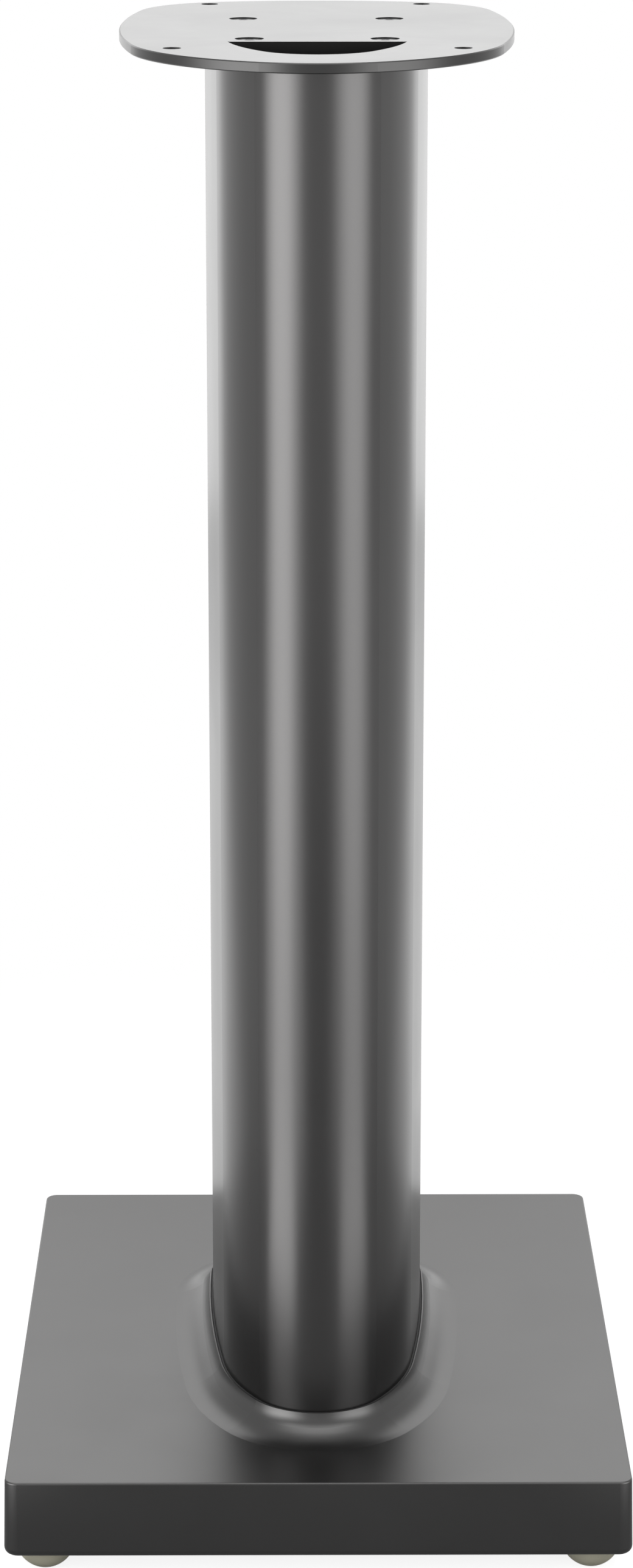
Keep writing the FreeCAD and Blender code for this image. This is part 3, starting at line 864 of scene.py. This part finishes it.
@dataclass(frozen=True)
class Softbox:
    """A soft rectangular studio lamp that faces the stand, or lies flat and faces up.

    Azimuth 0 is in front of the stand and 90 on its right, in degrees. A lamp that is
    only mirrored adds no diffuse light, but brightens every glossy surface that shows it.
    The metal pieces are all gloss, so such lamps set much of their tone.
    """

    name: str
    azimuth: float
    distance: float
    height: float
    width: float
    length: float
    radiance: float
    aim: Point = STAND_MIDDLE
    flat: bool = False
    only_mirrored: bool = False

    def build(self) -> None:
        """Add the lamp."""
        lamp = bpy.data.lights.new(self.name, "AREA")
        lamp.shape = "RECTANGLE"
        lamp.size = self.width
        lamp.size_y = self.length
        lamp.energy = self.radiance * math.pi * self.width * self.length
        holder = bpy.data.objects.new(self.name, lamp)
        turn = math.radians(self.azimuth)
        place = Vector((math.sin(turn) * self.distance, -math.cos(turn) * self.distance,
                        self.height))
        holder.location = place
        if self.flat:
            holder.rotation_euler = (math.pi, 0.0, turn)
        else:
            holder.rotation_euler = (Vector(self.aim) - place).to_track_quat("-Z", "Y").to_euler()
        holder.visible_camera = False
        holder.visible_diffuse = not self.only_mirrored
        bpy.context.scene.collection.objects.link(holder)
        log.info("%s: lamp", self.name)


def pair(name: str, azimuth: float, left: float, right: float,
         distance: float, height: float, width: float, length: float,
         **manner: bool) -> tuple[Softbox, Softbox]:
    """Two lamps that mirror each other, each with its own brightness.

    Args:
        name: Name that both share.
        azimuth: Azimuth of the right lamp, in degrees.
        left: Radiance of the left lamp.
        right: Radiance of the right lamp.
        distance: From the stand's axis, in metres.
        height: Above the floor, in metres.
        width: Width of each lamp.
        length: Height of a standing lamp, or reach of a flat one.
        manner: The fields flat and only_mirrored of a softbox, where they are True.

    Returns:
        The left and the right lamp.
    """
    return (
        Softbox(f"left_{name}", -azimuth, distance, height, width, length, left, **manner),
        Softbox(f"right_{name}", azimuth, distance, height, width, length, right, **manner))


def floor_pair(name: str, *sizes: float) -> tuple[Softbox, Softbox]:
    """Two lamps that lie face up just above the floor and are only mirrored.

    Args:
        name: Name that both share.
        sizes: The numbers that pair takes, in its order.

    Returns:
        The left and the right lamp.
    """
    return pair(name, *sizes, flat=True, only_mirrored=True)


@dataclass(frozen=True)
class PhotoCamera:
    """Camera at the photograph's viewing angle."""

    lens: float = 100.45
    location: Point = (-0.0086, -1.7555, 0.782)
    tilt: float = 74.23
    pan: float = -0.28
    sensor: float = 36.0
    nearest: float = 0.01
    farthest: float = 50.0

    def build(self) -> None:
        """Add the camera and make it the scene's."""
        data = bpy.data.cameras.new("camera")
        data.lens = self.lens
        data.sensor_width = self.sensor
        data.sensor_fit = "AUTO"
        data.clip_start = self.nearest
        data.clip_end = self.farthest
        camera = bpy.data.objects.new("camera", data)
        camera.location = self.location
        camera.rotation_euler = (math.radians(self.tilt), 0.0, math.radians(self.pan))
        bpy.context.scene.collection.objects.link(camera)
        bpy.context.scene.camera = camera


@dataclass
class Studio:
    """Pale floor, soft lamps and white surroundings.

    The floor is matt round near_middle, where it keeps the stand's shadow, and turns into
    plain white between clear_from and clear_to. The matt part adds near_glow for the camera
    and near_sheen in mirror images, where the white part shows at the level far_sheen. Fill
    is the even light that the surroundings give.
    """

    floor_radius: float = 3.0
    floor_sides: int = 128
    floor_tone: float = 0.40
    near_middle: Point = (0.0, -0.45, 0.0)
    clear_from: float = 0.45
    clear_to: float = 1.1
    near_glow: float = 0.86
    near_sheen: float = 0.08
    far_sheen: float = 0.85
    fill: float = 0.3
    # Name, azimuth, left and right radiance, distance, height, width and length. In front,
    # the lamps on the floor widen away from the stand, so that their mirror images run
    # straight down the column, and a wing round a panel or strip softens its edge.
    lamps: tuple[Softbox, ...] = (
        *pair("strip", 54.5, 1.7, 1.2, 1.9, 0.70, 1.9, 1.4),
        *pair("strip_wing", 54.0, 1.5, 1.0, 1.85, 0.46, 2.2, 0.92, only_mirrored=True),
        *pair("strip_core", 54.5, 2.1, 1.4, 1.8, 0.45, 1.05, 0.90),
        *floor_pair("inner_floor_panel", 46.0, 4.0, 2.7, 0.346, 0.02, 0.22, 0.16),
        *floor_pair("middle_floor_wing", 50.3, 1.6, 0.8, 0.554, 0.015, 0.66, 0.27),
        *floor_pair("middle_floor_panel", 50.0, 1.7, 1.2, 0.554, 0.02, 0.29, 0.27),
        *floor_pair("outer_floor_wing", 53.4, 1.6, 0.85, 0.846, 0.015, 1.02, 0.34),
        *floor_pair("outer_floor_panel", 52.3, 2.1, 1.4, 0.848, 0.02, 0.42, 0.34),
        *floor_pair("far_floor_wing", 55.5, 1.6, 1.0, 1.39, 0.015, 1.4, 0.82),
        *floor_pair("far_floor_panel", 54.5, 2.7, 1.85, 1.39, 0.02, 0.80, 0.82),
        *pair("rear_strip", 160.0, 0.85, 0.85, 1.8, 0.26, 0.7, 0.48, only_mirrored=True),
        *floor_pair("rear_floor_panel", 155.0, 0.47, 0.42, 0.95, 0.02, 0.55, 1.42),
        Softbox("rear_panel", 180.0, 1.8, 1.32, 2.0, 1.0, 1.9, ABOVE_BASE),
        Softbox("top_panel", 0.0, 0.5, 1.8, 2.2, 0.8, 3.0, ABOVE_BASE),
    )

    def build(self) -> None:
        """Set up the floor, the world, the lamps and the camera."""
        self.world()
        self.floor()
        for lamp in self.lamps:
            lamp.build()
        PhotoCamera().build()

    def seen_directly(self, wire: Wiring) -> bpy.types.NodeSocket:
        """Mask of the rays that see the background itself or its mirror image.

        Args:
            wire: The tree to add the nodes to.

        Returns:
            A socket that is 1 for camera, glossy and transmission rays.
        """
        ray = wire.node("ShaderNodeLightPath").outputs
        some = wire.math("MAXIMUM", ray["Is Camera Ray"], ray["Is Glossy Ray"])
        return wire.math("MAXIMUM", some, ray["Is Transmission Ray"])

    def world(self) -> None:
        """White surroundings that add only a little even light."""
        world = bpy.data.worlds.new("studio")
        world.use_nodes = True
        bpy.context.scene.world = world
        wire = Wiring(world.node_tree)
        strength = wire.between(self.seen_directly(wire), self.fill, 1.0)
        glow = wire.node("ShaderNodeBackground", {
            "Color": (1.0, 1.0, 1.0, 1.0), "Strength": strength})
        wire.node("ShaderNodeOutputWorld", {"Surface": glow.outputs[0]})

    def floor(self) -> None:
        """Pale round floor that keeps the stand's shadow and runs out to white."""
        work = bmesh.new()
        bmesh.ops.create_circle(work, cap_ends=True, segments=self.floor_sides,
                                radius=self.floor_radius)
        mesh = bpy.data.meshes.new("floor")
        work.to_mesh(mesh)
        work.free()
        floor = bpy.data.objects.new("floor", mesh)
        bpy.context.scene.collection.objects.link(floor)
        mesh.materials.append(self.floor_material())
        log.info("floor: radius %.1f m", self.floor_radius)

    def floor_material(self) -> bpy.types.Material:
        """Matt pale surface, white away from the stand and clear from below.

        Returns:
            The floor's material.
        """
        material = bpy.data.materials.new("studio_floor")
        material.use_nodes = True
        wire = Wiring(material.node_tree)
        position = wire.node("ShaderNodeTexCoord").outputs["Object"]
        away = wire.node("ShaderNodeVectorMath", {0: position, 1: self.near_middle},
                         operation="DISTANCE")
        fade = wire.node("ShaderNodeMapRange", {
            "Value": away.outputs["Value"], "From Min": self.clear_from,
            "From Max": self.clear_to}, interpolation_type="SMOOTHSTEP")
        tone = self.floor_tone
        matt = wire.node("ShaderNodeBsdfDiffuse", {"Color": (tone, tone, tone, 1.0)})
        ray = wire.node("ShaderNodeLightPath").outputs
        mirrored = wire.math("MULTIPLY", ray["Is Glossy Ray"], self.near_sheen)
        near = wire.node("ShaderNodeEmission", {
            "Strength": wire.math("MULTIPLY_ADD", ray["Is Camera Ray"], self.near_glow, mirrored)})
        lit = wire.node("ShaderNodeAddShader", {0: matt.outputs[0], 1: near.outputs[0]})
        unlit = wire.between(self.seen_directly(wire), self.fill, 1.0)
        dimmed = wire.math("MULTIPLY_ADD", ray["Is Glossy Ray"], self.far_sheen - 1.0, unlit)
        far = wire.node("ShaderNodeEmission", {"Strength": dimmed})
        surface = wire.node("ShaderNodeMixShader", {
            0: fade.outputs[0], 1: lit.outputs[0], 2: far.outputs[0]})
        clear = wire.node("ShaderNodeBsdfTransparent")
        behind = wire.node("ShaderNodeNewGeometry").outputs["Backfacing"]
        both = wire.node("ShaderNodeMixShader", {
            0: behind, 1: surface.outputs[0], 2: clear.outputs[0]})
        wire.node("ShaderNodeOutputMaterial", {"Surface": both.outputs[0]})
        return material


# ---- Build -------------------------------------------------------------------


def main() -> None:
    """Build the whole stand and its studio."""
    logging.basicConfig(level=logging.INFO, format="%(name)s: %(message)s", stream=sys.stdout)
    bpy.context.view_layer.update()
    bpy.context.scene.view_settings.view_transform = "Standard"
    paint = Paintbox(FINISHES)
    lathe = Lathe(paint)
    Studio().build()
    TopPlate(paint, lathe).build()
    Column(paint).build()
    Base(paint, lathe).build()
    for corner in Corner:
        LevellingFoot(corner, lathe).build()


if __name__ == "__main__":
    main()
